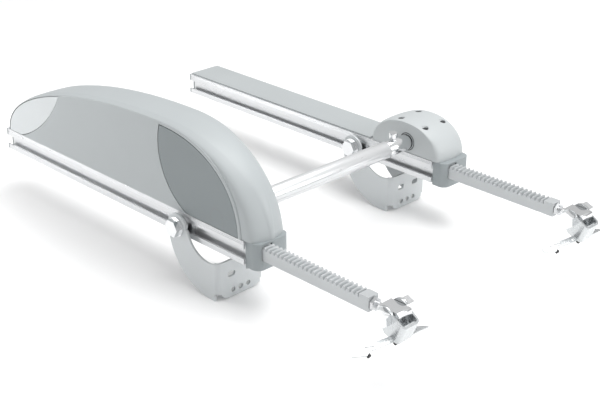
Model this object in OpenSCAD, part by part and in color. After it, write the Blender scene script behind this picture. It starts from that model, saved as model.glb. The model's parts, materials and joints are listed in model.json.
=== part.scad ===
// Tandem rack-and-pinion opener: a motor unit and a follower unit, side by side, joined by one shaft.
// Millimetres. X is the way the racks push, Y runs from the motor unit to the follower unit, Z is up.
// The origin is the middle screw hole in the front face of the motor unit's swing bracket.

/* [Units] */
// Distance between the two units, middle to middle
unit_gap = 321; // [260:1:600]
// Length of each rail
rail_len = 476; // [440:1:620]
// Width of each rail
rail_w = 55; // [52:0.5:66]
// Height of each rail
rail_h = 29; // [28:0.5:36]
// How far the racks stand out past the rails' front ends
rack_reach = 178; // [165:1:215]
// Travel of the racks inwards from here
travel_in = 150; // [100:1:180]
// Travel of the racks outwards from here
travel_out = 195; // [100:1:240]

/* [Rail section] */
// Opening of the bolt slot in the rail's sides
slot_open = 12.6; // [12.4:0.1:14]
// Height of the hidden part of the bolt slot
slot_inner = 19.6; // [18:0.1:22]
// Thickness of the slot's lips
slot_lip = 2.2; // [1.6:0.1:3]
// Depth of the hidden part of the bolt slot
slot_depth = 4.8; // [4:0.1:6]
// Thickness of the rail's inner walls
rail_wall = 1.8; // [1.5:0.1:2.2]
// Thickness of the rail's floor and roof
rail_skin = 2; // [1.6:0.1:3]

/* [Gears] */
// Module of the teeth
tooth_m = 2; // [1.7:0.05:2.4]
// Teeth on each rack pinion
pinion_teeth = 20; // [18:1:24]
// Teeth on the idler gear
idler_teeth = 40; // [34:2:42]
// Teeth on the motor pinion
motor_teeth = 18; // [17:1:22]
// Flank clearance of each tooth
backlash = 0.16; // [0.1:0.01:0.3]
// Width of the racks
rack_w = 14.5; // [12:0.1:15.5]
// Height of the racks, from their underside to the tooth tips
rack_h = 17; // [14:0.1:18]
// Direction from the rack pinion to the idler, in degrees
idler_angle = 150; // [145:1:156]
// Direction from the idler to the motor pinion, in degrees
motor_angle = 170; // [160:1:180]

/* [Shaft] */
// Diameter of the shafts
shaft_d = 16; // [13:0.5:19.5]
// Outside diameter of the connecting tube
tube_d = 22; // [20:0.5:26]
// Place of the shaft behind the rails' front ends
shaft_back = 43; // [40:1:52]

/* [Hood] */
// Height of the hood's top above the idler gear's teeth
hood_h = 16.475; // [13:0.025:24]
// Length of the hood's rear sweep
hood_rear = 332; // [300:1:336]
// Length of the hood's front sweep
hood_front = 135; // [125:1:160]
// Thickness of the hood's wall
hood_wall = 2.5; // [2:0.1:3]

/* [Swing brackets] */
// Place of the motor unit's bracket bolt behind the rail's front end
drive_bolt_back = 107; // [90:1:300]
// Place of the follower unit's bracket bolt behind the rail's front end
follower_bolt_back = 131; // [90:1:300]
// Thickness of the bracket plate
plate_t = 3; // [2.5:0.1:3.6]
// Diameter of the bracket bolts
bolt_d = 12; // [10:0.5:12]
// Reach of the bracket's flange in front of its bolt
flange_reach = 70; // [60:1:84]
// Distance between neighbouring screw holes in the flange
hole_pitch = 11.6; // [10:0.1:13.9]
// Diameter of the flange's screw holes
hole_d = 6.5; // [5.5:0.1:7.5]

/* [Feet] */
// Diameter of the foot's pivot bolt
pin_d = 12; // [10:0.5:12.5]
// Width of the eye strap
eye_w = 19.6; // [17:0.1:23]
// Diameter of the stud that joins the eye strap to the rack
stud_d = 8; // [6.8:0.1:8.6]
// Thickness of the foot's plate
foot_t = 2.5; // [2:0.1:3]
// Length of the foot's near wing
near_wing = 46; // [38:1:60]
// Length of the foot's far wing
far_wing = 29; // [24:1:50]
// How far the foot's wings droop, in degrees
wing_droop = 12; // [0:1:20]
// How far the foot's toe is turned down, in degrees
foot_pitch = 22; // [5:1:35]

/* [Hidden] */
$fn = 48;

gap = 0.3;          // air between pieces that move past each other
fit = 0.05;         // radial clearance of a shaft in its bush
press = 80;         // $fn of the larger round pieces

// bracket, about its bolt
flange_h = 48;
flange_drop = 25;   // top of the flange below the bolt
hole_drop = 64.5;   // screw holes below the bolt
arm_gap = 4.7;      // air between the rail's side and the bracket's arm
arm_y = rail_w / 2 + arm_gap;
arm_outer_r = 74.5;
arm_outer_c = [flange_reach - 12, 0];
arm_inner_r = flange_reach - 34;
arm_inner_c = [flange_reach - 17, 8];
boss_r = bolt_d / 2 + 10;
bend_r = 3;

// rail section
slot_z = rail_h * 0.45;
slot_floor = rail_w / 2 - slot_lip - slot_depth;
rack_y = -slot_floor + rail_wall + gap + 1 + rack_w / 2;
channel_w = rack_w + 2.6;
channel_top = rail_h - rail_skin;
rack_top = channel_top - 1;
rack_bottom = rack_top - rack_h;
far_room = [rack_y + channel_w / 2 + rail_wall, slot_floor - rail_wall];

// gear train, in the unit's own X and Z
pitch = PI * tooth_m;
pinion_r = tooth_m * pinion_teeth / 2;
shaft_x = -shaft_back;
shaft_z = rack_top - tooth_m + pinion_r;
idler_dist = tooth_m * (pinion_teeth + idler_teeth) / 2 + 0.05;
idler_x = shaft_x + idler_dist * cos(idler_angle);
idler_z = shaft_z + idler_dist * sin(idler_angle);
motor_dist = tooth_m * (idler_teeth + motor_teeth) / 2 + 0.05;
motor_x = idler_x + motor_dist * cos(motor_angle);
motor_z = idler_z + motor_dist * sin(motor_angle);
face_w = rack_w - 0.5;
idler_phase = mesh_phase(pinion_teeth, -90, idler_teeth, idler_angle);
motor_phase = mesh_phase(idler_teeth, idler_phase, motor_teeth, motor_angle);

// shaft line, across the units
shaft_r = shaft_d / 2;
bush_r = shaft_r + 3;
bush_len = 5.4;
tube_start = rail_w / 2 + 3;
tube_end = unit_gap - rail_w / 2 - 40.5;
barrel_r = tube_d / 2 - 0.6;
plug_len = 18;
barrel_end = unit_gap - rail_w / 2 + 3.5;
screw_y = tube_end + 14;

// hood
hood_peak = -140;
hood_half = rail_w / 2;
hood_top = idler_z + tooth_m * (idler_teeth / 2 + 1) + hood_h - rail_h;   // above the rail
hood_front_n = 2.15;   // how square the front sweep is
crown_front = 23;      // extra length of the crown over the nose
crown_up = 2.5;
nose_front = 20;
nose_in = 3;           // the nose is this much narrower on each side
nose_drop = 3.5;
crescent_c = [-64, rail_h + 74.5];
crescent_r = 81.7;
wiring_c = [-505, rail_h + 178];
wiring_r = 189;
plate_in = hood_half - hood_wall - 0.2;
near_plate_y = -plate_in;
far_plate_y = rack_y + face_w / 2 + 4.5;
gear_plate_t = 2.5;

// dome
dome_x = shaft_x - 5;
dome_h = shaft_z + pinion_r + tooth_m + 4 - rail_h;
dome_len = 60;         // half of its length at the middle
dome_side_len = 50;    // half of its length at the flat sides
dome_half = rail_w / 2 - 1;
dome_wall = 2.5;
dome_n = 2.15;         // how square its arch is

// rack length: still in mesh when right out
rack_len = rack_reach + travel_out + shaft_back + 34;
block_len = 13.5;
teeth_before = floor((rack_reach - block_len + shaft_back) / pitch - 0.5);
teeth_behind = floor((rack_len - rack_reach - shaft_back) / pitch - 1);

// foot, about its pivot
pin_r = pin_d / 2;
eye_r = pin_r + 1.8;
strap_t = 2.5;
strap_back = 11.5;
strap_front = 16.5;
strap_drop = 9;
stud_z = rack_bottom + rack_h * 0.49;
pin_x = rack_reach + 26.5;
ear_y = eye_w / 2 + 0.6;
ear_out = ear_y + foot_t;
ear_r = pin_r + 5.5;
web_u = 26;         // outer face of the foot's front web, from the pivot
web_top = 5;
wing_v = -17;       // underside of the foot, from the pivot
web_bend = 5;

// ---------- places ----------
module at_drive() translate([drive_bolt_back - flange_reach, 0, hole_drop - slot_z]) children();
module at_follower() translate([drive_bolt_back - flange_reach, unit_gap, hole_drop - slot_z]) children();
module at_shaft(y) translate([shaft_x, y, shaft_z]) children();
module at_foot() translate([pin_x, rack_y, stud_z]) children();
module at_foot_plate() at_foot() rotate([0, foot_pitch, 0]) children();

// A flat shape drawn in Y and Z, run along X from x = 0
module along_x(len) rotate([90, 0, 90]) linear_extrude(len) children();
// A flat shape drawn in X and Z, run along Y from y = y0
module across(y0, w) translate([0, y0 + w, 0]) rotate([90, 0, 0]) linear_extrude(w) children();
// A rod along Y from y = 0
module rod_y(r, len) rotate([-90, 0, 0]) cylinder(r = r, h = len);
module tube_y(r, bore, len) {
    rotate([-90, 0, 0]) difference() {
        cylinder(r = r, h = len);
        translate([0, 0, -1]) cylinder(r = bore, h = len + 2);
    }
}
module hex_y(flats, len) rotate([-90, 0, 0]) cylinder(d = flats / cos(30), h = len, $fn = 6);

// ---------- gears ----------
function involute(a) = tan(a) * 180 / PI - a;
// Half the angle that a tooth fills at radius r
function half_tooth(r, teeth) =
    let (pr = tooth_m * teeth / 2, base = pr * cos(20))
    90 / teeth - (backlash / 2 / pr) * 180 / PI + involute(20) - involute(acos(min(1, base / r)));
// Turn of a gear so that it meshes with one turned by phase1, in direction dir
function mesh_phase(teeth1, phase1, teeth2, dir) =
    dir + 180 + 180 / teeth2 + (dir - phase1) * teeth1 / teeth2;
function on_circle(r, a) = [r * cos(a), r * sin(a)];
function gear_points(teeth, phase) =
    let (pr = tooth_m * teeth / 2, base = pr * cos(20), root = pr - 1.25 * tooth_m,
         tip = pr + tooth_m, low = max(root + 0.2, base), steps = 4)
    [for (k = [0 : teeth - 1]) let (mid = phase + k * 360 / teeth) each concat(
        [on_circle(root, mid - half_tooth(low, teeth) - 0.5)],
        [for (i = [0 : steps]) let (r = low + (tip - low) * i / steps)
            on_circle(r, mid - half_tooth(r, teeth))],
        [for (i = [steps : -1 : 0]) let (r = low + (tip - low) * i / steps)
            on_circle(r, mid + half_tooth(r, teeth))],
        [on_circle(root, mid + half_tooth(low, teeth) + 0.5)])];
module gear_2d(teeth, phase, bore) {
    difference() {
        polygon(gear_points(teeth, phase));
        circle(r = bore);
    }
}

// One rack tooth, centred on x
function tooth_at(x) =
    let (slope = tan(20), half = pitch / 4 - backlash / 2, line = rack_top - tooth_m)
    [[x - half - slope * 1.25 * tooth_m, line - 1.25 * tooth_m], [x - half + slope * tooth_m, rack_top],
     [x + half - slope * tooth_m, rack_top], [x + half + slope * 1.25 * tooth_m, line - 1.25 * tooth_m]];
module rack() {
    back = rack_reach - rack_len;
    root = rack_top - 2.25 * tooth_m;
    points = concat([[back, rack_bottom], [back, root]],
        [for (k = [-teeth_behind : teeth_before]) each tooth_at(shaft_x + (k + 0.5) * pitch)],
        [[rack_reach - block_len, root], [rack_reach - block_len, rack_top],
         [rack_reach, rack_top], [rack_reach, rack_bottom]]);
    difference() {
        across(rack_y - rack_w / 2, rack_w) polygon(points);
        translate([rack_reach - 22, rack_y, stud_z]) rotate([0, 90, 0])
            cylinder(r = stud_d / 2 + fit, h = 23);
    }
}
module pinion(bore) {
    at_shaft(rack_y - face_w / 2) translate([0, face_w, 0]) rotate([90, 0, 0])
        linear_extrude(face_w) gear_2d(pinion_teeth, -90, bore);
}

// ---------- rail ----------
module tee_slot_2d(side) {
    mirror([side < 0 ? 1 : 0, 0]) {
        translate([rail_w / 2 - slot_lip - 1, slot_z - slot_open / 2])
            square([slot_lip + 2, slot_open]);
        translate([slot_floor, slot_z - slot_inner / 2]) square([slot_depth, slot_inner]);
    }
}
module rail_2d() {
    difference() {
        translate([-rail_w / 2, 0]) square([rail_w, rail_h]);
        tee_slot_2d(-1);
        tee_slot_2d(1);
        translate([rack_y - channel_w / 2, rail_skin])
            square([channel_w, channel_top - rail_skin]);
        translate([far_room[0], rail_skin])
            square([far_room[1] - far_room[0], channel_top - rail_skin]);
        for (side = [-1, 1], z = [rail_h - 2, rail_h - 4])
            translate([side * rail_w / 2 - 0.5, z - 0.35]) square([1, 0.7]);
    }
}
switch_x = [rack_reach - rack_len - travel_in + 5, motor_x + 22];
module rail(switch_holes) {
    window = pinion_r + tooth_m + 3;
    difference() {
        translate([-rail_len, 0, 0]) along_x(rail_len) rail_2d();
        translate([shaft_x - window, rack_y - channel_w / 2, rail_h / 2])
            cube([2 * window, channel_w, rail_h]);
        if (switch_holes) for (x = switch_x) translate([x, rack_y, rail_h / 2])
            cylinder(r = 2, h = rail_h);
    }
}
module rack_guide() {
    wall = (channel_w - rack_w) / 2 - 0.3;
    translate([shaft_x - 60, 0, 0]) along_x(shaft_back + 55) difference() {
        translate([rack_y - channel_w / 2 + 0.1, rail_skin + 0.05])
            square([channel_w - 0.2, rack_top - 2.25 * tooth_m - rail_skin - 1]);
        translate([rack_y - channel_w / 2 + 0.1 + wall, rack_bottom - 0.1])
            square([channel_w - 0.2 - 2 * wall, rack_h]);
    }
}
module end_cap() {
    translate([-rail_len - 3, 0, 0]) along_x(3) difference() {
        translate([-rail_w / 2, 0]) square([rail_w, rail_h]);
        tee_slot_2d(-1);
        tee_slot_2d(1);
    }
    for (room = [[rack_y - channel_w / 2, rack_y + channel_w / 2], far_room])
        translate([-rail_len, room[0] + 0.2, rail_skin + 0.2]) along_x(8)
            square([room[1] - room[0] - 0.4, channel_top - rail_skin - 0.4]);
}
// Outline of the nose from above: a block with round corners and a gently curved front
module nose_2d() {
    corner = 9.5;
    half = rail_w / 2 - nose_in;
    translate([0, -half]) square([nose_front - corner, 2 * half]);
    translate([0, -half + corner]) square([nose_front, 2 * (half - corner)]);
    for (side = [-1, 1]) translate([nose_front - corner, side * (half - corner)]) circle(r = corner);
}
module nose() {
    difference() {
        union() {
            translate([0, 0, -nose_drop]) linear_extrude(rail_h + nose_drop) nose_2d();
            translate([-14, far_room[0] + 0.2, rail_skin + 0.2])
                cube([15, far_room[1] - far_room[0] - 0.4, channel_top - rail_skin - 0.4]);
        }
        translate([-1, rack_y - rack_w / 2 - 0.5, rack_bottom - 0.6])
            cube([nose_front + 2, rack_w + 1, rack_h + 1.4]);
    }
}

// ---------- motor unit ----------
module gear_plate_2d() {
    front = shaft_x + pinion_r + tooth_m + 7;
    polygon([[motor_x - 20, rail_h], [front, rail_h], [front - 3, rail_h + 22],
             [shaft_x - 7, idler_z + 26], [shaft_x - 26, idler_z + 32],
             [motor_x - 20, motor_z + 20]]);
}
spacer_out = pinion_r + tooth_m + 3.7;   // front spacer, clear of the pinion's teeth
spacer_at = [[shaft_x + spacer_out * cos(20.5), shaft_z - spacer_out * sin(20.5)],
             [motor_x + 2, rail_h + 12], [shaft_x - 8, idler_z + 21]];
module gear_plate(y, axle_holes) {
    difference() {
        across(y, gear_plate_t) gear_plate_2d();
        at_shaft(y - 1) rod_y(bush_r, gear_plate_t + 2);
        translate([idler_x, y - 1, idler_z]) rod_y(6, gear_plate_t + 2);
        translate([motor_x, y - 1, motor_z]) rod_y(axle_holes, gear_plate_t + 2);
    }
}
module spacers() {
    inner = near_plate_y + gear_plate_t;
    for (p = spacer_at) translate([p[0], inner, p[1]]) rod_y(3.5, far_plate_y - inner);
}
module idler() {
    y = rack_y - face_w / 2;
    translate([idler_x, 0, idler_z]) difference() {
        across(y, face_w) gear_2d(idler_teeth, idler_phase, 6 + fit);
        for (k = [0 : 5]) rotate([0, k * 60, 0]) translate([tooth_m * idler_teeth * 0.3, y - 1, 0])
            rod_y(tooth_m * idler_teeth / 16, face_w + 2);
    }
}
module motor_gear() {
    y = rack_y - face_w / 2;
    translate([motor_x, 0, motor_z]) {
        across(y, face_w) gear_2d(motor_teeth, motor_phase, 0);
        translate([0, near_plate_y, 0]) rod_y(5, y - near_plate_y + 1);
        translate([0, y + face_w - 1, 0]) rod_y(5, far_plate_y + gear_plate_t + 6 - y - face_w);
    }
}
gearhead_y = far_plate_y + gear_plate_t;
gearhead_x = [motor_x - 38, motor_x + 30];
motor_r = 21;
module gear_case() {
    difference() {
        union() {
            translate([gearhead_x[0], gearhead_y, motor_z - 22])
                cube([gearhead_x[1] - gearhead_x[0], hood_half - hood_wall - 1 - gearhead_y, 44]);
            translate([gearhead_x[0] - 14, 0, motor_z]) rotate([0, 90, 0])
                cylinder(r = motor_r + 1, h = 15);
        }
        translate([motor_x, gearhead_y - 1, motor_z]) rod_y(5 + fit, 8);
    }
}
module motor() {
    x = gearhead_x[0] - 14;
    translate([x - 108, 0, motor_z]) rotate([0, 90, 0]) cylinder(r = motor_r, h = 108, $fn = press);
    translate([x - 114, 0, motor_z]) rotate([0, 90, 0]) cylinder(r = 8, h = 7);
}
board_x = -418;
board_y = 12;
board_z = rail_h + 13;
module board() {
    translate([board_x, board_y, board_z]) cube([80, 1.6, 31]);
    for (x = [6, 70], z = [3, 24])
        translate([board_x + x, board_y + 1.6, board_z + z]) cube([4, 6, 4]);
    translate([board_x + 48, board_y - 9, board_z + 3]) cube([18, 9, 15]);
    translate([board_x + 48, board_y - 6, board_z + 20]) cube([24, 6, 8]);
}
module terminals() {
    difference() {
        translate([board_x + 4, board_y - 11, board_z + 2]) cube([40, 11, 12]);
        for (k = [0 : 4]) translate([board_x + 8 + 8 * k, board_y - 8, board_z + 9])
            cylinder(r = 2, h = 6);
        for (k = [0 : 4]) translate([board_x + 6.4 + 8 * k, board_y - 12, board_z + 4])
            cube([3.2, 6, 4]);
    }
}
module switches() {
    for (x = switch_x) {
        translate([x - 10, rack_y - 3.2, rail_h]) cube([20, 6.4, 10]);
        translate([x, rack_y, rack_top + gap]) cylinder(r = 1.6, h = rail_h - rack_top);
    }
}

// ---------- hood ----------
// Side outline: a quarter ellipse at the rear and a fuller, superelliptic sweep at the front
function sweep(rear, front, h, bulge) = concat(
    [for (a = [180 : -7.5 : 97.5]) [hood_peak + rear * cos(a), rail_h + h * sin(a)]],
    [for (a = [90 : -7.5 : 0])
        [hood_peak + front * pow(cos(a), 2 / bulge), rail_h + h * pow(sin(a), 2 / bulge)]]);
module side_2d(inset, grow_front, grow_up) {
    polygon(sweep(hood_rear - inset, hood_front - inset + grow_front, hood_top - inset + grow_up,
        hood_front_n));
}
module hood_body(inset) {
    hull() {
        across(-hood_half + inset, 2 * (hood_half - inset)) side_2d(inset, 0, 0);
        across(-21 + inset, 2 * (21 - inset)) side_2d(inset, crown_front * 0.7, crown_up * 0.7);
        across(-8 + inset, 2 * (8 - inset)) side_2d(inset, crown_front, crown_up);
    }
}
module crescent_2d(clear) {
    intersection() {
        side_2d(9 + clear, 0, 0);
        translate(crescent_c) circle(r = crescent_r - clear, $fn = press);
        translate([-200, rail_h + 3 + clear]) square([300, 200]);
    }
}
module wiring_2d(clear) {
    intersection() {
        side_2d(4 + clear, 0, 0);
        translate(wiring_c) circle(r = wiring_r - clear, $fn = press);
        translate([-520, rail_h + 2.5 + clear]) square([300, 200]);
    }
}
module panel_holes(y) {
    across(y, hood_wall + 2) crescent_2d(0);
    across(y, hood_wall + 2) wiring_2d(0);
}
module hood_shell() {
    difference() {
        hood_body(0);
        difference() {
            hood_body(hood_wall);
            translate([-600, -60, rail_h - 50]) cube([700, 120, 50]);
        }
        translate([-470, -hood_half + hood_wall, rail_h - 1])
            cube([470 - 12, 2 * (hood_half - hood_wall), 4.5]);
        panel_holes(-hood_half - 1);
        panel_holes(hood_half - hood_wall - 1);
    }
}
panel_t = hood_wall - 0.5;
near_panel_y = -hood_half + 0.4;
far_panel_y = hood_half - 0.4 - panel_t;
module shaft_panel(y, hole) {
    difference() {
        across(y, panel_t) crescent_2d(0.25);
        if (hole > 0) at_shaft(y - 1) rod_y(hole, panel_t + 2);
    }
}
grommet_at = [-428, rail_h + 16];
module wiring_panel(y, hole) {
    difference() {
        across(y, panel_t) wiring_2d(0.25);
        if (hole > 0) translate([grommet_at[0], y - 1, grommet_at[1]]) rod_y(hole, panel_t + 2);
    }
}
module grommet() {
    translate([grommet_at[0], far_panel_y, grommet_at[1]]) {
        difference() {
            union() {
                rod_y(6, panel_t);
                translate([0, panel_t, 0]) rod_y(8, 1.6);
                translate([0, -1.6, 0]) rod_y(8, 1.6);
            }
            translate([0, -3, 0]) rod_y(3.5, panel_t + 8);
        }
    }
}

// ---------- shaft line ----------
module drive_shaft_rod() {
    difference() {
        at_shaft(near_plate_y + 0.2) rod_y(shaft_r, tube_start + 30 - near_plate_y);
        at_shaft(tube_start + 15) rotate([0, 90, 0]) cylinder(r = 2, h = 60, center = true);
    }
}
module follower_shaft_rod() {
    at_shaft(tube_end - unit_gap + 5) rod_y(shaft_r, unit_gap - tube_end + 2);
}
module bushes(near_y, far_y) {
    at_shaft(near_y) tube_y(bush_r, shaft_r + fit, bush_len);
    at_shaft(far_y) tube_y(bush_r, shaft_r + fit, bush_len);
}
module long_tube() {
    difference() {
        at_shaft(tube_start) tube_y(tube_d / 2, shaft_r, tube_end - tube_start);
        at_shaft(tube_start + 15) rotate([0, 90, 0]) cylinder(r = 2, h = 60, center = true);
    }
}
module barrel() {
    difference() {
        union() {
            at_shaft(tube_end) rod_y(barrel_r, barrel_end - tube_end);
            at_shaft(tube_end - plug_len) rod_y(shaft_r, plug_len + 1);
        }
        at_shaft(tube_end + 5) rod_y(shaft_r, barrel_end - tube_end);
        at_shaft(screw_y) cylinder(r = 2.5, h = 30);
    }
}
module thumb_screw() {
    at_shaft(screw_y) {
        translate([0, 0, shaft_r]) cylinder(r = 2.5, h = barrel_r + 4 - shaft_r);
        translate([0, 0, barrel_r + 3]) cylinder(r = 5.5, h = 6.5);
    }
}

// ---------- follower unit ----------
cheek_t = 2.2;
module bearing_plate(y) {
    difference() {
        across(y, cheek_t) polygon([[shaft_x - 24, rail_h], [shaft_x + 24, rail_h],
            [shaft_x + 14, shaft_z + 14], [shaft_x - 14, shaft_z + 14]]);
        at_shaft(y - 1) rod_y(bush_r, cheek_t + 2);
    }
}
near_cheek = rack_y - face_w / 2 - 0.6 - cheek_t;
far_cheek = rack_y + face_w / 2 + 1.6;
near_bush = rack_y - face_w / 2 - gap - bush_len;
// Side outline of the dome: an arch over the rail, a little squarer than an ellipse
function dome_arch(len, h) = [for (a = [180 : -7.5 : 0])
    [dome_x + len * sign(cos(a)) * pow(abs(cos(a)), 2 / dome_n), rail_h + h * pow(sin(a), 2 / dome_n)]];
module dome_solid(inset) {
    hull() {
        across(-dome_half + inset, 2 * (dome_half - inset))
            polygon(dome_arch(dome_side_len - inset, dome_h - 1.5 - inset));
        across(-20 + inset, 2 * (20 - inset)) polygon(dome_arch(dome_len - 3 - inset, dome_h - 0.4 - inset));
        across(-9 + inset, 2 * (9 - inset)) polygon(dome_arch(dome_len - inset, dome_h - inset));
    }
}
dome_screw_y = 17;
dome_screw_dx = [-14, 26];
// Height of the dome's skin over a screw
function skin_z(dx) = rail_h + (dome_h - 0.6) * pow(1 - pow(abs(dx) / (dome_len - 2), dome_n), 1 / dome_n);
module at_dome_screws() {
    for (dx = dome_screw_dx, side = [-1, 1])
        translate([dome_x + dx, side * dome_screw_y, skin_z(dx)]) children();
}
module dome() {
    difference() {
        union() {
            difference() {
                dome_solid(0);
                dome_solid(dome_wall);
            }
            intersection() {
                dome_solid(dome_wall / 2);
                at_dome_screws() translate([0, 0, -4]) cylinder(r = 5.5, h = 8);
            }
        }
        translate([-300, -60, rail_h - 100]) cube([600, 120, 100]);
        at_shaft(-dome_half - 1) rod_y(max(tube_d / 2, bush_r) + 1, dome_wall + 2);
        at_dome_screws() {
            translate([0, 0, -10]) cylinder(r = 2.2, h = 20);
            translate([0, 0, -2.2]) cylinder(r = 4.3, h = 20);
        }
    }
}
module dome_screw_group() {
    at_dome_screws() {
        translate([0, 0, -6]) cylinder(r = 2.15, h = 5);
        translate([0, 0, -2.2]) cylinder(r = 4, h = 1.4);
    }
}
module top_strip() {
    translate([-rail_len, -rail_w / 2 + 2.5, rail_h])
        cube([rail_len + dome_x - dome_len - 1, rail_w - 5, 2]);
}

// ---------- swing brackets, about their bolt ----------
module arm_2d() {
    intersection() {
        difference() {
            translate(arm_outer_c) circle(r = arm_outer_r, $fn = press);
            translate(arm_inner_c) circle(r = arm_inner_r, $fn = press);
        }
        translate([-100, -200]) square([100 + flange_reach - bend_r - plate_t, 200]);
    }
    circle(r = boss_r);
}
module flange_2d() {
    half = arm_y - bend_r;
    corner = 10;
    translate([-half, -flange_drop - flange_h + corner]) square([2 * half, flange_h - corner]);
    translate([-half + corner, -flange_drop - flange_h]) square([2 * (half - corner), corner]);
    for (side = [-1, 1])
        translate([side * (half - corner), -flange_drop - flange_h + corner]) circle(r = corner);
}
module swing_bracket() {
    difference() {
        union() {
            for (side = [-1, 1]) {
                across(side > 0 ? arm_y : -arm_y - plate_t, plate_t) arm_2d();
                translate([flange_reach - bend_r - plate_t, side * (arm_y - bend_r),
                           -flange_drop - flange_h + 8])
                    rotate([0, 0, side > 0 ? 0 : -90]) rotate_extrude(angle = 90)
                        translate([bend_r, 0]) square([plate_t, flange_h - 8]);
            }
            translate([flange_reach - plate_t, 0, 0]) along_x(plate_t) flange_2d();
        }
        for (side = [-1, 1]) translate([0, side * arm_y, 0]) rotate([90, 0, 0])
            cylinder(r = bolt_d / 2 + fit, h = 3 * plate_t, center = true);
        for (k = [-1 : 1]) translate([flange_reach - 2 * plate_t, k * hole_pitch, -hole_drop])
            rotate([0, 90, 0]) cylinder(d = hole_d, h = 3 * plate_t);
        for (side = [-1, 1]) translate([flange_reach - 2 * plate_t, side * 14, -flange_drop - 18])
            along_x(3 * plate_t) {
                square([5, hole_d], center = true);
                for (e = [-2.5, 2.5]) translate([e, 0]) circle(d = hole_d);
            }
    }
}
washer_t = 1.6;
module bracket_bolts() {
    inner = slot_floor + 0.6;
    for (side = [-1, 1]) scale([1, side, 1]) {
        translate([0, inner, 0]) rod_y(bolt_d / 2, arm_y + plate_t + washer_t - inner);
        translate([0, rail_w / 2 + gap, 0]) tube_y(bolt_d / 2 + 5.5, bolt_d / 2, arm_gap - 2 * gap);
        translate([0, arm_y + plate_t, 0]) tube_y(bolt_d / 2 + 6, bolt_d / 2, washer_t);
        translate([0, arm_y + plate_t + washer_t, 0]) hex_y(bolt_d + 7, bolt_d * 0.63);
    }
}
module tee_nuts() {
    for (side = [-1, 1]) scale([1, side, 1])
        translate([0, slot_floor + gap, 0]) difference() {
            translate([-16, 0, -slot_inner / 2 + gap])
                cube([32, slot_depth - 2 * gap, slot_inner - 2 * gap]);
            translate([0, -1, 0]) rod_y(bolt_d / 2, slot_depth + 2);
        }
}

// ---------- feet ----------
// Side view of the strap: a flat-topped stirrup, open below, with the eye hanging under its top
module strap_2d() {
    difference() {
        union() {
            translate([-strap_back, -strap_drop])
                square([strap_back + strap_front, eye_r + strap_drop - 3]);
            translate([-strap_back, 0]) square([strap_back + strap_front - 3, eye_r]);
            translate([strap_front - 3, eye_r - 3]) circle(r = 3);
        }
        translate([-strap_back + strap_t, -strap_drop - 1])
            square([strap_back + strap_front - 2 * strap_t, eye_r + strap_drop + 1 - strap_t]);
    }
    circle(r = eye_r);
}
module eye_strap() {
    difference() {
        union() {
            at_foot() across(-eye_w / 2, eye_w) strap_2d();
            translate([rack_reach - 18, rack_y, stud_z]) rotate([0, 90, 0])
                cylinder(d = stud_d, h = pin_x - strap_back - rack_reach + 19);
        }
        at_foot() translate([0, -eye_w, 0]) rod_y(pin_r + fit, 2 * eye_w);
    }
}
module lock_nut() {
    translate([rack_reach + 0.8, rack_y, stud_z]) rotate([0, 90, 0])
        difference() {
            cylinder(d = (stud_d + 5) / cos(30), h = stud_d / 2, $fn = 6);
            translate([0, 0, -1]) cylinder(d = stud_d, h = stud_d);
        }
}
// Side view of the foot: round behind the pivot, deep at the front
module ear_2d() {
    circle(r = ear_r);
    polygon([[-ear_r * 0.75, -ear_r * 0.66], [7, wing_v], [web_u, wing_v], [web_u, web_top],
             [ear_r * 0.66, ear_r * 0.75]]);
}
// Plan of a block with its two front corners rounded
module foot_plan(front, half, corner) {
    translate([-ear_r - 1, -half]) square([ear_r + 1 + front - corner, 2 * half]);
    translate([-ear_r - 1, -half + corner]) square([ear_r + 1 + front, 2 * (half - corner)]);
    for (side = [-1, 1]) translate([front - corner, side * (half - corner)]) circle(r = corner);
}
module near_wing_2d() {
    difference() {
        polygon([[web_u - 11, -2], [web_u - 11 - near_wing * 0.23, near_wing * 0.95],
                 [web_u - 16, near_wing], [web_u - 8, near_wing * 0.73],
                 [web_u - 10.7, near_wing * 0.59], [web_u - 3.6, -2]]);
        translate([web_u - 8, 4.5]) circle(r = 1.8);
        translate([web_u - 13.9, near_wing * 0.55]) rotate(26) {
            square([3, 8], center = true);
            for (e = [-4, 4]) translate([0, e]) circle(r = 1.5);
        }
    }
}
module far_wing_2d() {
    difference() {
        polygon([[web_u - 11, -2], [web_u - 6.5, far_wing * 0.71], [web_u - 2.7, far_wing],
                 [web_u - 1.8, far_wing * 0.26], [web_u - 1, -2]]);
        translate([web_u - 5.5, 7]) circle(r = 1.8);
    }
}
module at_near_wing() translate([0, -ear_out, wing_v]) mirror([0, 1, 0]) rotate([-wing_droop, 0, 0])
    children();
module foot() {
    at_foot_plate() {
        difference() {
            intersection() {
                across(-ear_out, 2 * ear_out) ear_2d();
                translate([0, 0, -50]) linear_extrude(100) difference() {
                    foot_plan(web_u, ear_out, web_bend);
                    foot_plan(web_u - foot_t, ear_y, web_bend - foot_t);
                }
            }
            translate([0, -2 * eye_w, 0]) rod_y(pin_r + fit, 4 * eye_w);
        }
        at_near_wing() linear_extrude(foot_t) near_wing_2d();
        translate([0, ear_out, wing_v]) rotate([-wing_droop, 0, 0])
            linear_extrude(foot_t) far_wing_2d();
    }
}
bolt_head = pin_d * 0.63;
module foot_bolt() {
    y = ear_y + foot_t;
    at_foot_plate() {
        translate([0, -y - bolt_head, 0]) hex_y(pin_d + 7, bolt_head);
        translate([0, -y - 0.5, 0]) rod_y(pin_r, 2 * y + 14);
    }
}
module foot_nut() {
    at_foot_plate() translate([0, ear_y + foot_t, 0]) {
        tube_y(pin_r + 5, pin_r, 1.6);
        translate([0, 1.6, 0]) difference() {
            hex_y(pin_d + 6, pin_d * 0.8);
            translate([0, -1, 0]) rod_y(pin_r, pin_d);
        }
    }
}
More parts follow.
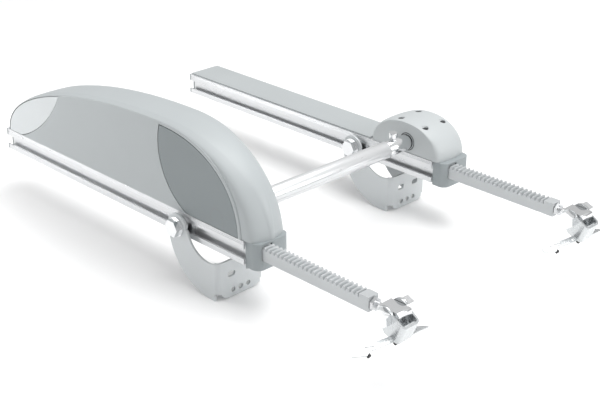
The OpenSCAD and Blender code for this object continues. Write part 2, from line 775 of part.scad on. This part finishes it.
module foot_pads() {
    at_foot_plate() {
        translate([web_u - 6, -ear_out + 1, wing_v - 3]) cube([4, 4, 3]);
        at_near_wing() translate([web_u - 11, near_wing * 0.62, -3]) cube([4, 4, 3]);
    }
}

// ---------- the pieces ----------
module drive_rail() color("gainsboro") at_drive() rail(true);
module drive_end_cap() color("lightgray") at_drive() end_cap();
module drive_nose() color("darkgray") at_drive() nose();
module drive_rack_guide() color("whitesmoke") at_drive() rack_guide();
module drive_rack() color("silver") at_drive() rack();
module drive_pinion() color("slategray") at_drive() pinion(shaft_r);
module drive_shaft() color("silver") at_drive() drive_shaft_rod();
module drive_bearings() color("peru") at_drive()
    bushes(near_plate_y, far_plate_y);
module near_gear_plate() color("lightsteelblue") at_drive() gear_plate(near_plate_y, 5 + fit);
module far_gear_plate() color("lightsteelblue") at_drive() gear_plate(far_plate_y, 7);
module plate_spacers() color("silver") at_drive() spacers();
module idler_axle() color("silver") at_drive() translate([idler_x, near_plate_y, idler_z])
    rod_y(6, far_plate_y + gear_plate_t - near_plate_y);
module idler_gear() color("slategray") at_drive() idler();
module motor_pinion() color("slategray") at_drive() motor_gear();
module gearhead() color("dimgray") at_drive() gear_case();
module motor_can() color("gray") at_drive() motor();
module run_capacitor() color("whitesmoke") at_drive()
    translate([-300, 0, rail_h + 13]) rotate([0, 90, 0]) cylinder(r = 13, h = 58);
module control_board() color("seagreen") at_drive() board();
module terminal_block() color("green") at_drive() terminals();
module limit_switches() color("black") at_drive() switches();
module hood() color("silver") at_drive() hood_shell();
module near_shaft_panel() color("gray") at_drive() shaft_panel(near_panel_y, 0);
module far_shaft_panel() color("gray") at_drive() shaft_panel(far_panel_y, tube_d / 2 + 1.5);
module near_wiring_panel() color("gainsboro") at_drive() wiring_panel(near_panel_y, 0);
module far_wiring_panel() color("gainsboro") at_drive() wiring_panel(far_panel_y, 6);
module cable_grommet() color("black") at_drive() grommet();

module connecting_tube() color("gainsboro") at_drive() long_tube();
module tube_pin() color("silver") at_drive() at_shaft(tube_start + 15) rotate([0, 90, 0])
    cylinder(r = 2, h = tube_d, center = true);
module coupling_barrel() color("silver") at_drive() barrel();
module coupling_screw() color("silver") at_drive() thumb_screw();

module follower_rail() color("gainsboro") at_follower() rail(false);
module follower_end_cap() color("lightgray") at_follower() end_cap();
module follower_nose() color("darkgray") at_follower() nose();
module follower_rack_guide() color("whitesmoke") at_follower() rack_guide();
module follower_rack() color("silver") at_follower() rack();
module follower_pinion() color("slategray") at_follower() pinion(shaft_r);
module follower_shaft() color("silver") at_follower() follower_shaft_rod();
module follower_bearings() color("peru") at_follower() bushes(near_bush, far_cheek);
module follower_bearing_plates() color("lightsteelblue") at_follower() {
    bearing_plate(near_cheek);
    bearing_plate(far_cheek);
}
module follower_top_strip() color("lightgray") at_follower() top_strip();
module follower_dome() color("lightgray") at_follower() dome();
module dome_screws() color("dimgray") at_follower() dome_screw_group();

module at_drive_bolt() at_drive() translate([-drive_bolt_back, 0, slot_z]) children();
module at_follower_bolt() at_follower() translate([-follower_bolt_back, 0, slot_z]) children();
module drive_bracket() color("lightgray") at_drive_bolt() swing_bracket();
module drive_bracket_bolts() color("silver") at_drive_bolt() bracket_bolts();
module drive_tee_nuts() color("silver") at_drive_bolt() tee_nuts();
module follower_bracket() color("lightgray") at_follower_bolt() swing_bracket();
module follower_bracket_bolts() color("silver") at_follower_bolt() bracket_bolts();
module follower_tee_nuts() color("silver") at_follower_bolt() tee_nuts();

module drive_eye_strap() color("silver") at_drive() eye_strap();
module drive_lock_nut() color("silver") at_drive() lock_nut();
module drive_foot() color("lightgray") at_drive() foot();
module drive_foot_bolt() color("silver") at_drive() foot_bolt();
module drive_foot_nut() color("silver") at_drive() foot_nut();
module drive_foot_pads() color("black") at_drive() foot_pads();
module follower_eye_strap() color("silver") at_follower() eye_strap();
module follower_lock_nut() color("silver") at_follower() lock_nut();
module follower_foot() color("lightgray") at_follower() foot();
module follower_foot_bolt() color("silver") at_follower() foot_bolt();
module follower_foot_nut() color("silver") at_follower() foot_nut();
module follower_foot_pads() color("black") at_follower() foot_pads();

drive_rail();
drive_end_cap();
drive_nose();
drive_rack_guide();
drive_rack();
drive_pinion();
drive_shaft();
drive_bearings();
near_gear_plate();
far_gear_plate();
plate_spacers();
idler_axle();
idler_gear();
motor_pinion();
gearhead();
motor_can();
run_capacitor();
control_board();
terminal_block();
limit_switches();
hood();
near_shaft_panel();
far_shaft_panel();
near_wiring_panel();
far_wiring_panel();
cable_grommet();
connecting_tube();
tube_pin();
coupling_barrel();
coupling_screw();
follower_rail();
follower_end_cap();
follower_nose();
follower_rack_guide();
follower_rack();
follower_pinion();
follower_shaft();
follower_bearings();
follower_bearing_plates();
follower_top_strip();
follower_dome();
dome_screws();
drive_bracket();
drive_bracket_bolts();
drive_tee_nuts();
follower_bracket();
follower_bracket_bolts();
follower_tee_nuts();
drive_eye_strap();
drive_lock_nut();
drive_foot();
drive_foot_bolt();
drive_foot_nut();
drive_foot_pads();
follower_eye_strap();
follower_lock_nut();
follower_foot();
follower_foot_bolt();
follower_foot_nut();
follower_foot_pads();
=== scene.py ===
import json
import math

import bpy
import numpy as np
from mathutils import Matrix, Vector


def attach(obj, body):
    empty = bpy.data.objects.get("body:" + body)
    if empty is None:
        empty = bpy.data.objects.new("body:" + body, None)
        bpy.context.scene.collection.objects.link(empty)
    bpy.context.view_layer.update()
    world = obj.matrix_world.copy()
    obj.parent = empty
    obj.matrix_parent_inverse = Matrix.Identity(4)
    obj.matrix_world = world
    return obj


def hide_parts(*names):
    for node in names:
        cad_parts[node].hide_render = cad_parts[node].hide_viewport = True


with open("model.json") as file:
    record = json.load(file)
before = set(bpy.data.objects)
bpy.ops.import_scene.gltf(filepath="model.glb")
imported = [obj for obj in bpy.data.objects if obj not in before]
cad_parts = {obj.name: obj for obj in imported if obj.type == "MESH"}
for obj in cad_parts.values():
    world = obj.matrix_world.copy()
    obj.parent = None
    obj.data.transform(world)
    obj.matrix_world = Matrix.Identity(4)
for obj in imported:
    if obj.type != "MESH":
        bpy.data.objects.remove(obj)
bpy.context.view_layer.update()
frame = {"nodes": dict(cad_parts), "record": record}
nodes = frame["nodes"]
unit = {"x": 0.037, "z": 0.05145, "gap": 0.321}    # where a rail's front end, mid-plane and underside lie


# ---------- materials ----------
def surfaceGroup():    # fine grain for roughness and bump, wide drift for colour
    g = bpy.data.node_groups.new("surfaceGrain", "ShaderNodeTree")
    for way, sockets in (("INPUT", (("Place", "Vector"), ("Size", "Float"), ("Spread", "Float"),
                                    ("Base", "Color"), ("Worn", "Color"), ("Dull", "Float"))),
                         ("OUTPUT", (("Colour", "Color"), ("Roughness", "Float"), ("Height", "Float")))):
        for name, kind in sockets:
            g.interface.new_socket(name=name, in_out=way, socket_type="NodeSocket" + kind)
    n, link = g.nodes, g.links.new
    inp, out = n.new("NodeGroupInput"), n.new("NodeGroupOutput")
    fine, wide = n.new("ShaderNodeTexNoise"), n.new("ShaderNodeTexNoise")
    for t, detail in ((fine, 4.0), (wide, 2.0)):
        t.inputs["Detail"].default_value = detail
        link(inp.outputs["Place"], t.inputs["Vector"])
    link(inp.outputs["Size"], fine.inputs["Scale"])
    wide.inputs["Scale"].default_value = 9.0
    blend = n.new("ShaderNodeMix")
    blend.data_type = "RGBA"
    ramp = n.new("ShaderNodeMapRange")
    ramp.inputs["From Min"].default_value = 0.3
    ramp.inputs["From Max"].default_value = 0.7
    link(wide.outputs["Fac"], ramp.inputs["Value"])
    link(ramp.outputs["Result"], blend.inputs["Factor"])
    link(inp.outputs["Base"], blend.inputs["A"])
    link(inp.outputs["Worn"], blend.inputs["B"])
    link(blend.outputs["Result"], out.inputs["Colour"])
    swing = n.new("ShaderNodeMath")
    swing.operation = "MULTIPLY_ADD"
    centred = n.new("ShaderNodeMath")
    centred.operation = "SUBTRACT"
    centred.inputs[1].default_value = 0.5
    link(fine.outputs["Fac"], centred.inputs[0])
    link(centred.outputs[0], swing.inputs[0])
    link(inp.outputs["Spread"], swing.inputs[1])
    link(inp.outputs["Dull"], swing.inputs[2])
    link(swing.outputs[0], out.inputs["Roughness"])
    link(fine.outputs["Fac"], out.inputs["Height"])
    return g


grain = surfaceGroup()


def makeMaterial(name, s):
    m = bpy.data.materials.new(name)
    m.use_nodes = True
    n, link = m.node_tree.nodes, m.node_tree.links.new
    shader = n["Principled BSDF"]
    coord, place, group = n.new("ShaderNodeTexCoord"), n.new("ShaderNodeMapping"), n.new("ShaderNodeGroup")
    group.node_tree = grain
    place.inputs["Scale"].default_value = s.get("stretch", (1, 1, 1))
    link(coord.outputs["Object"], place.inputs["Vector"])
    link(place.outputs["Vector"], group.inputs["Place"])
    group.inputs["Size"].default_value = s["grain"]
    group.inputs["Spread"].default_value = s["spread"]
    group.inputs["Dull"].default_value = s["rough"]
    c, k = s["colour"], s.get("shade", 0.94)
    group.inputs["Base"].default_value = (*c, 1)
    group.inputs["Worn"].default_value = (c[0] * k, c[1] * k, c[2] * k, 1)
    link(group.outputs["Colour"], shader.inputs["Base Color"])
    link(group.outputs["Roughness"], shader.inputs["Roughness"])
    bump = n.new("ShaderNodeBump")
    bump.inputs["Strength"].default_value = s.get("bump", 0.1)
    bump.inputs["Distance"].default_value = 0.0002
    link(group.outputs["Height"], bump.inputs["Height"])
    link(bump.outputs["Normal"], shader.inputs["Normal"])
    shader.inputs["Metallic"].default_value = s.get("metal", 0.0)
    shader.inputs["Coat Weight"].default_value = s.get("coat", 0.0)
    shader.inputs["Coat Roughness"].default_value = 0.15
    return m


moulded = {"rough": 0.42, "spread": 0.08, "grain": 1100.0, "bump": 0.12, "shade": 0.97}
finishes = {
    "rail": {"colour": (0.68, 0.69, 0.70), "metal": 0.8, "rough": 0.3, "spread": 0.16, "grain": 60.0,
             "stretch": (0.6, 14, 14), "bump": 0.06},
    "cap": {"colour": (0.36, 0.39, 0.40), "rough": 0.5, "spread": 0.1, "grain": 900.0, "bump": 0.15},
    "nose": {"colour": (0.29, 0.32, 0.33), "rough": 0.48, "spread": 0.1, "grain": 900.0, "bump": 0.15},
    "guide": {"colour": (0.80, 0.80, 0.78), "rough": 0.35, "spread": 0.1, "grain": 500.0},
    "rack": {"colour": (0.50, 0.52, 0.53), "metal": 0.35, "rough": 0.36, "spread": 0.2, "grain": 220.0,
             "stretch": (1, 6, 6), "bump": 0.08},
    "gear": {"colour": (0.42, 0.43, 0.44), "metal": 1.0, "rough": 0.33, "spread": 0.2, "grain": 300.0},
    "steel": {"colour": (0.62, 0.63, 0.64), "metal": 1.0, "rough": 0.3, "spread": 0.2, "grain": 300.0},
    "bronze": {"colour": (0.46, 0.31, 0.17), "metal": 1.0, "rough": 0.4, "spread": 0.2, "grain": 400.0},
    "plate": {"colour": (0.58, 0.60, 0.62), "metal": 1.0, "rough": 0.38, "spread": 0.2, "grain": 200.0},
    "casting": {"colour": (0.12, 0.125, 0.13), "rough": 0.55, "spread": 0.2, "grain": 500.0, "bump": 0.3},
    "motor": {"colour": (0.22, 0.23, 0.24), "rough": 0.4, "spread": 0.15, "grain": 350.0},
    "capacitor": {"colour": (0.74, 0.74, 0.70), "rough": 0.35, "spread": 0.1, "grain": 300.0},
    "board": {"colour": (0.02, 0.12, 0.05), "rough": 0.3, "spread": 0.1, "grain": 900.0, "shade": 0.7},
    "terminal": {"colour": (0.03, 0.20, 0.07), "rough": 0.45, "spread": 0.1, "grain": 600.0},
    "switch": {"colour": (0.012, 0.012, 0.014), "rough": 0.45, "spread": 0.1, "grain": 700.0},
    "hood": {"colour": (0.40, 0.428, 0.437), **moulded},
    "shaft_panel": {"colour": (0.215, 0.242, 0.25), **moulded, "shade": 0.96},
    "wiring_panel": {"colour": (0.62, 0.65, 0.66), **moulded},
    "rubber": {"colour": (0.012, 0.012, 0.013), "rough": 0.6, "spread": 0.15, "grain": 700.0, "bump": 0.2},
    "tube": {"colour": (0.72, 0.73, 0.74), "metal": 0.6, "rough": 0.3, "spread": 0.12, "grain": 120.0,
             "stretch": (10, 0.5, 10), "bump": 0.04},
    "chrome": {"colour": (0.80, 0.81, 0.82), "metal": 1.0, "rough": 0.1, "spread": 0.08, "grain": 160.0},
    "strip": {"colour": (0.40, 0.425, 0.432), "rough": 0.45, "spread": 0.08, "grain": 900.0, "bump": 0.12},
    "dome": {"colour": (0.45, 0.475, 0.482), **moulded},
    "dark_screw": {"colour": (0.05, 0.052, 0.055), "metal": 0.8, "rough": 0.4, "spread": 0.2, "grain": 500.0},
    "bracket": {"colour": (0.56, 0.585, 0.595), "metal": 0.15, "rough": 0.38, "spread": 0.12, "grain": 500.0},
    "foot": {"colour": (0.62, 0.64, 0.65), "metal": 0.9, "rough": 0.26, "spread": 0.15, "grain": 250.0},
}
materials = {name: makeMaterial(name, s) for name, s in finishes.items()}
slots = {p["node"]: p["material_slot"] for p in frame["record"]["subparts"]}
print("materials made:", len(materials))


# ---------- shapes ----------
def addPiece(name, verts, faces, slotName, body, stands=(), sharp=35.0):
    mesh = bpy.data.meshes.new(name)
    mesh.from_pydata(np.asarray(verts, float).reshape(-1, 3).tolist(), [], [list(map(int, f)) for f in faces])
    mesh.validate()
    mesh.shade_smooth()
    mesh.set_sharp_from_angle(angle=math.radians(sharp))
    piece = bpy.data.objects.new(name, mesh)
    bpy.context.scene.collection.objects.link(piece)
    mesh.materials.append(materials[slotName])
    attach(piece, body)
    if stands:
        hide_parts(*stands)
    return piece


def gridFaces(rows, cols, start=0):
    i, j = np.meshgrid(np.arange(rows - 1), np.arange(cols - 1), indexing="ij")
    quad = np.stack([i * cols + j, i * cols + j + 1, (i + 1) * cols + j + 1, (i + 1) * cols + j], -1)
    return quad.reshape(-1, 4) + start


def joinGrids(grids):
    verts, faces, start = [], [], 0
    for g in grids:
        rows, cols = g.shape[:2]
        verts.append(g.reshape(-1, 3))
        faces.append(gridFaces(rows, cols, start))
        start += rows * cols
    return np.concatenate(verts), np.concatenate(faces)


def weldAndRound(piece, width):
    weld = piece.modifiers.new("weld", "WELD")
    weld.merge_threshold = 1e-5
    bevel = piece.modifiers.new("edges", "BEVEL")
    bevel.width = width
    bevel.segments = 2
    bevel.limit_method = "ANGLE"
    bevel.angle_limit = math.radians(30)
    bevel.harden_normals = False
    bevel.use_clamp_overlap = True


# ---------- the CAD pieces ----------
edges = {"nose": 1.2, "bracket": 0.5, "foot": 0.35, "eye_strap": 0.6, "foot_bolt": 0.6, "foot_nut": 0.5,
         "bracket_bolts": 0.7, "end_cap": 0.6, "rack": 0.2, "rail": 0.25, "coupling_screw": 0.8,
         "coupling_barrel": 0.5, "follower_top_strip": 0.5, "connecting_tube": 0.5}    # bevels in mm
for name, piece in nodes.items():
    piece.data.materials.clear()
    piece.data.materials.append(materials[slots[name]])
    width = edges.get(name) or edges.get(name.removeprefix("drive_").removeprefix("follower_"))
    if width:
        weldAndRound(piece, width / 1000)
print("frame pieces dressed:", len(nodes))

# ---------- the hood ----------
hood = {"peak": -0.140, "base": 0.029, "high": 0.1035, "rear": 0.332, "front": 0.135, "bulge": 2.15,
        "half": 0.0275, "edge": 0.0015, "inset": 0.0050}
crown = {"creaseTop": 0.0195, "creaseBase": 0.0030, "creasePower": 1.1, "lift": 0.0025, "reach": 0.020,
         "noseReach": 0.0035, "atCreaseTop": 0.74, "atCreaseGain": 0.23, "round": 3.2, "roundShare": 0.8,
         "crowd": 1.5, "rows": 241, "bandCols": 26, "topCols": 23, "lipCols": 5}


# Rear: a quarter ellipse. Front: a superellipse, cosine and sine raised to 2 / bulge.
def sweepPoint(a, addFront, addUp, addRear):
    c, s = np.cos(a), np.sin(a)
    k = 2 / hood["bulge"]
    front = c > 0
    x = np.where(front, (hood["front"] + addFront) * np.abs(c) ** k, (hood["rear"] + addRear) * c)
    z = np.where(front, (hood["high"] + addUp) * np.abs(s) ** k, (hood["high"] + addUp) * s)
    return hood["peak"] + x, hood["base"] + z


def toRow(x, y, z, follower=0):
    return np.stack(np.broadcast_arrays(x + unit["x"], y + follower * unit["gap"], z + unit["z"]), -1)


# Between the creases a shallow parabola. Outside them a straight band that rounds off lower down.
def crownGrid():
    a = np.linspace(math.pi, 0, crown["rows"])[:, None]
    low = np.clip((math.pi / 2 - a) / (math.pi / 2), 0, 1)    # 0 at the peak and behind it, 1 at the nose
    crease = crown["creaseTop"] - (crown["creaseTop"] - crown["creaseBase"]) * low ** crown["creasePower"]
    wide = hood["half"] - hood["edge"]
    atCrease = crown["atCreaseTop"] + crown["atCreaseGain"] * low
    power, straight = 1 + crown["round"] * low, 1 - crown["roundShare"] * low ** crown["roundShare"]
    s = np.linspace(0, 1, crown["bandCols"])[None, :] ** crown["crowd"]
    band = atCrease * (straight * s + (1 - straight) * (1 - (1 - s) ** power) ** (1 / power))
    bandY = wide - s * (wide - crease)
    t = np.linspace(-1, 1, crown["topCols"])[None, 1:-1]
    top = atCrease + (1 - atCrease) * (1 - t ** 2)
    swell = np.concatenate([band, top, band[:, ::-1]], 1)
    y = np.concatenate([-bandY, t * crease, bandY[:, ::-1]], 1)
    reach = crown["reach"] + crown["noseReach"] * low ** 3
    x, z = sweepPoint(a, reach * swell, crown["lift"] * swell, crown["lift"] * swell)
    turn = np.linspace(0, math.pi / 2, crown["lipCols"])[None, :]
    inward = -hood["edge"] * (1 - np.cos(turn))
    ex, ez = sweepPoint(a, inward, inward, inward)
    ey = wide + hood["edge"] * np.sin(turn) + 0 * a
    return np.concatenate([toRow(ex, -ey, ez)[:, :0:-1], toRow(x, y, z), toRow(ex, ey, ez)[:, 1:]], 1)


def arcX(arc, radius, z, side):
    return arc["centre"][0] + side * np.sqrt(np.maximum(radius ** 2 - (z - arc["centre"][1]) ** 2, 0))


def outlineX(z, inset, side):
    up = np.clip((z - hood["base"]) / (hood["high"] - inset), 0, 1)
    if side > 0:
        return hood["peak"] + (hood["front"] - inset) * (1 - up ** hood["bulge"]) ** (1 / hood["bulge"])
    return hood["peak"] - (hood["rear"] - inset) * np.sqrt(1 - up ** 2)


crescent = {"centre": (-0.0637, 0.1035), "radius": 0.0817}
wiring = {"centre": (-0.5056, 0.2067), "radius": 0.1889}
z = np.linspace(0.04, 0.125, 4001)
wiringTop = z[int(np.argmin(np.abs(arcX(wiring, wiring["radius"], z, 1) - outlineX(z, hood["edge"], -1))))]


# A four-sided patch: the rail's top, the crescent's arc, the outline and the wiring cover's arc, blended.
def sideCentre(side):
    v, u = np.linspace(0, 1, 70)[None, :], np.linspace(0, 1, 110)[:, None]
    base, top = hood["base"], hood["base"] + hood["high"] - hood["edge"]
    zl, zr = base + (wiringTop - base) * v, base + (top - base) * v
    left, right = arcX(wiring, wiring["radius"], zl, 1), arcX(crescent, crescent["radius"], zr, -1)
    rear = hood["rear"] - hood["edge"]
    aLeft = math.acos((left[0, -1] - hood["peak"]) / rear)
    aRight = math.acos(min(0.0, (right[0, -1] - hood["peak"]) / rear))
    a = aLeft + (aRight - aLeft) * u
    topX, topZ = hood["peak"] + rear * np.cos(a), base + (hood["high"] - hood["edge"]) * np.sin(a)
    botX = left[0, 0] + (right[0, 0] - left[0, 0]) * u
    corners = (1 - u) * (1 - v), u * (1 - v), (1 - u) * v, u * v
    x = ((1 - v) * botX + v * topX + (1 - u) * left + u * right - corners[0] * left[0, 0]
         - corners[1] * right[0, 0] - corners[2] * topX[0, 0] - corners[3] * topX[-1, 0])
    z = ((1 - v) * base + v * topZ + (1 - u) * zl + u * zr - (1 - v) * base
         - corners[2] * topZ[0, 0] - corners[3] * topZ[-1, 0])
    depth, roll = np.array([[0.0], [0.0004], [0.0032]]), np.array([[0.0], [0.00015], [0.0003]])
    lips = [toRow(x[edge][None, :] + push * roll, side * (hood["half"] - depth), z[edge][None, :])
            for edge, push in ((0, 1), (-1, -1))]
    return [toRow(x, side * hood["half"], z)] + lips


# The narrow upright strip between the crescent and the crown, stepped in to the crescent's groove.
def sideRim(side):
    a = np.linspace(math.pi / 2 + 0.004, 0, 121)[:, None]
    inward = -np.array([[hood["edge"], 0.0025, 0.0038, 0.0044, 0.0046, 0.0046]])
    level = hood["half"] - np.array([[0.0, 0.0, 0.0, 0.0001, 0.0006, 0.0035]])
    x, z = sweepPoint(a, inward, inward, inward)
    return toRow(x, side * level, z)


shell = [crownGrid()] + [g for side in (-1, 1) for g in sideCentre(side) + [sideRim(side)]]
addPiece("hoodCover", *joinGrids(shell), "hood", "opener", ["hood"], sharp=50)


cover = {"foot": 0.0295, "gap": 0.0006, "groove": 0.0008, "wiringInset": 0.0024, "tip": 0.0002,
         "wiringDrop": 0.001, "sunk": 0.0003, "rows": 80, "cols": 44, "crowd": 1.6}


# Straight across from one edge to the other, rows closer together near the tip, side edges rolled inward.
def panelGrids(side, high, leftOf, rightOf):
    low = cover["foot"]
    w = 1 - (1 - np.linspace(0, 1, cover["rows"])[:, None]) ** cover["crowd"]
    z = low + (high - low) * w
    xl, xr = leftOf(z), rightOf(z)
    u = np.linspace(0, 1, cover["cols"])[None, :]
    x = xl + (xr - xl) * u
    level = hood["half"] - cover["sunk"]
    rims = []
    for k in (0, -1):
        depth = np.array([[0.0, 0.00015, 0.0005, 0.0032]])
        out = np.array([[0.0, 0.0002, 0.0003, 0.0003]]) * (-1 if k == 0 else 1)
        rims.append(toRow(x[:, k][:, None] + out, side * (level - depth), z + 0 * depth))
    return [toRow(x, side * level, z + 0 * u)] + rims


shaftTop = hood["base"] + hood["high"] - hood["inset"] - cover["gap"]
for side, where in ((-1, "near"), (1, "far")):
    crescentLeft = lambda z: arcX(crescent, crescent["radius"] - cover["groove"], z, -1)
    crescentRight = lambda z: np.maximum(outlineX(z, hood["inset"] + cover["gap"], 1),
                                         crescentLeft(z) + cover["tip"])
    addPiece(where + "ShaftCover", *joinGrids(panelGrids(side, shaftTop, crescentLeft, crescentRight)),
             "shaft_panel", "opener", [where + "_shaft_panel"], sharp=50)
    wiringRight = lambda z: arcX(wiring, wiring["radius"] - cover["groove"], z, 1)
    wiringLeft = lambda z: np.minimum(outlineX(z, cover["wiringInset"], -1), wiringRight(z) - cover["tip"])
    addPiece(where + "WiringCover",
             *joinGrids(panelGrids(side, wiringTop - cover["wiringDrop"], wiringLeft, wiringRight)),
             "wiring_panel", "opener", [where + "_wiring_panel"], sharp=50)

arch = {"x": -0.0445, "radius": 0.0105, "top": 0.0430, "foot": 0.0300, "width": 0.00035, "sunk": 0.00028,
        "rise": 0.00008}


# The knock-out line: two uprights joined by a half circle, a thin flat ribbon just off the panel.
def archRibbon():
    legs = np.linspace(arch["foot"], arch["top"], 8)
    turn = np.linspace(0, math.pi, 33)[1:-1]
    px = np.concatenate([0 * legs + arch["radius"], arch["radius"] * np.cos(turn), 0 * legs - arch["radius"]])
    pz = np.concatenate([legs, arch["top"] + arch["radius"] * np.sin(turn), legs[::-1]])
    nx = np.concatenate([0 * legs + 1, np.cos(turn), 0 * legs - 1])
    nz = np.concatenate([0 * legs, np.sin(turn), 0 * legs])
    w = np.array([[-1.0, -0.6, 0.6, 1.0]]) * arch["width"]
    rise = np.array([[0.0, arch["rise"], arch["rise"], 0.0]])
    y = -hood["half"] + arch["sunk"] - rise
    return toRow(arch["x"] + px[:, None] + nx[:, None] * w, y, pz[:, None] + nz[:, None] * w)


addPiece("knockoutLine", *joinGrids([archRibbon()]), "motor", "opener")


shaft = {"x": -0.043, "z": 0.044, "count": 72}


# (radius, y) points turned once about the shaft's axis.
def ringGrid(profile, follower=0):
    a = np.linspace(0, 2 * math.pi, shaft["count"], endpoint=False)[:, None]
    r, y = np.array(profile)[:, 0][None, :], np.array(profile)[:, 1][None, :]
    return toRow(shaft["x"] + r * np.cos(a), y + 0 * a, shaft["z"] + r * np.sin(a), follower)


def ringPiece(name, grid, slotName, body):
    n, m = grid.shape[:2]
    i, j = np.meshgrid(np.arange(n), np.arange(m - 1), indexing="ij")
    k = (i + 1) % n
    faces = np.stack([i * m + j, k * m + j, k * m + j + 1, i * m + j + 1], -1).reshape(-1, 4)
    return addPiece(name, grid, faces, slotName, body, sharp=35)


collar = [(0.0116, 0.0262), (0.0116, 0.0284), (0.0119, 0.0288), (0.0142, 0.0288), (0.0146, 0.0284),
          (0.0148, 0.0272)]
ringPiece("farShaftCollar", ringGrid(collar), "shaft_panel", "opener")
print("hood built")

# ---------- the dome ----------
dome = {"x": -0.048, "base": 0.0291, "high": 0.0410, "long": 0.060, "sideLong": 0.050, "half": 0.0265,
        "bulge": 2.15, "sidePower": 0.6, "sideDrop": 0.0015, "screwY": 0.017, "screwDx": (-0.014, 0.026),
        "well": 0.0042, "wall": 0.0003, "deep": 0.0022, "wellsAbove": 0.05}


# A superellipse arch swept across the rail, shorter at its flat sides, with four screw wells pressed in.
def domeGrids():
    k = 2 / dome["bulge"]
    t = np.linspace(-math.pi / 2, math.pi / 2, 161)[None, :]
    phi = np.linspace(0, math.pi, 301)[:, None]
    share = np.cos(t) ** dome["sidePower"]
    long = dome["sideLong"] + (dome["long"] - dome["sideLong"]) * share
    high = dome["high"] - dome["sideDrop"] * (1 - share)
    x = dome["x"] + long * np.sign(np.cos(phi)) * np.abs(np.cos(phi)) ** k
    y = dome["half"] * np.sin(t) + 0 * phi
    z = dome["base"] + high * np.abs(np.sin(phi)) ** k
    for dx in dome["screwDx"]:
        for sy in (-1, 1):
            away = np.hypot(x - dome["x"] - dx, y - sy * dome["screwY"])
            press = np.clip((dome["well"] + dome["wall"] - away) / (2 * dome["wall"]), 0, 1)
            z = z - dome["deep"] * press * (z > dome["wellsAbove"])
    sides = []
    for col in (0, -1):
        up = np.linspace(0, 1, 40)[None, :]
        zi = dome["base"] + (z[:, col][:, None] - dome["base"]) * up
        sides.append(toRow(x[:, col][:, None] + 0 * up, y[0, col], zi, 1))
    return [toRow(x, y, z, 1)] + sides


addPiece("domeCover", *joinGrids(domeGrids()), "dome", "opener", ["follower_dome"], sharp=60)
mouth = [(0.0119, -0.0269), (0.0119, -0.0266), (0.0100, -0.0264), (0.0080, -0.0262)]
ringPiece("domeShaftMouth", ringGrid(mouth, 1), "rubber", "opener")
print("dome built")

# ---------- the studio ----------
stage = {"level": -0.0095, "depth": 4.0, "cols": 9}
across = np.linspace(-stage["depth"], stage["depth"], stage["cols"])
gx, gy = np.meshgrid(across, across, indexing="ij")
floorMesh = bpy.data.meshes.new("floor")
floorMesh.from_pydata(np.stack([gx, gy, 0 * gx + stage["level"]], -1).reshape(-1, 3).tolist(), [],
                      gridFaces(stage["cols"], stage["cols"]).tolist())
floor = bpy.data.objects.new("floor", floorMesh)
bpy.context.scene.collection.objects.link(floor)
floorFinish = {"colour": (0.93, 0.93, 0.93), "rough": 0.6, "spread": 0.05, "grain": 3.0, "shade": 0.995,
               "bump": 0.0}
floorMesh.materials.append(makeMaterial("studioFloor", floorFinish))


def areaLight(name, place, aim, width, height, watts):
    lamp = bpy.data.lights.new(name, "AREA")
    lamp.shape = "RECTANGLE"
    lamp.size, lamp.size_y, lamp.energy = width, height, watts
    holder = bpy.data.objects.new(name, lamp)
    holder.location = place
    holder.rotation_euler = (Vector(aim) - Vector(place)).to_track_quat("-Z", "Y").to_euler()
    bpy.context.scene.collection.objects.link(holder)


middle = (-0.05, 0.15, 0.05)
areaLight("overhead", (0.2, 0.5, 1.8), middle, 1.6, 1.2, 27)
areaLight("frontRight", (1.5, 0.8, 0.6), middle, 1.0, 0.8, 8)
areaLight("rearLeft", (-1.0, -0.6, 0.35), (-0.42, 0, 0.12), 0.5, 0.4, 3)
bpy.context.scene.view_settings.view_transform = "Standard"
world = bpy.data.worlds.new("studio")
bpy.context.scene.world = world
world.use_nodes = True
sky, skyLink = world.node_tree.nodes, world.node_tree.links.new    # brighter overhead than at the horizon
lookUp, splitUp = sky.new("ShaderNodeTexCoord"), sky.new("ShaderNodeSeparateXYZ")
fade = sky.new("ShaderNodeMapRange")
for socket, value in (("From Min", -0.15), ("From Max", 0.6), ("To Min", 0.22), ("To Max", 0.8)):
    fade.inputs[socket].default_value = value
skyLink(lookUp.outputs["Generated"], splitUp.inputs["Vector"])
skyLink(splitUp.outputs["Z"], fade.inputs["Value"])
skyLink(fade.outputs["Result"], sky["Background"].inputs["Strength"])
sky["Background"].inputs["Color"].default_value = (1, 1, 1, 1)

# ---------- the camera ----------
view = {"place": (0.9302, -0.8156, 0.6812), "lens": 72.7, "sensor": 36, "azimuth": 45.58, "elevation": 24.92}
camera = bpy.data.objects.new("camera", bpy.data.cameras.new("camera"))
bpy.context.scene.collection.objects.link(camera)
camera.data.lens = view["lens"]
camera.data.sensor_width = view["sensor"]
azimuth, elevation = math.radians(view["azimuth"]), math.radians(view["elevation"])
right = Vector((math.cos(azimuth), math.sin(azimuth), 0))
back = Vector((math.sin(azimuth) * math.cos(elevation), -math.cos(azimuth) * math.cos(elevation),
               math.sin(elevation)))
up = back.cross(right)
rows = [(right[k], up[k], back[k], view["place"][k]) for k in range(3)]
camera.matrix_world = Matrix((*rows, (0, 0, 0, 1)))
bpy.context.scene.camera = camera
print("studio and camera set")
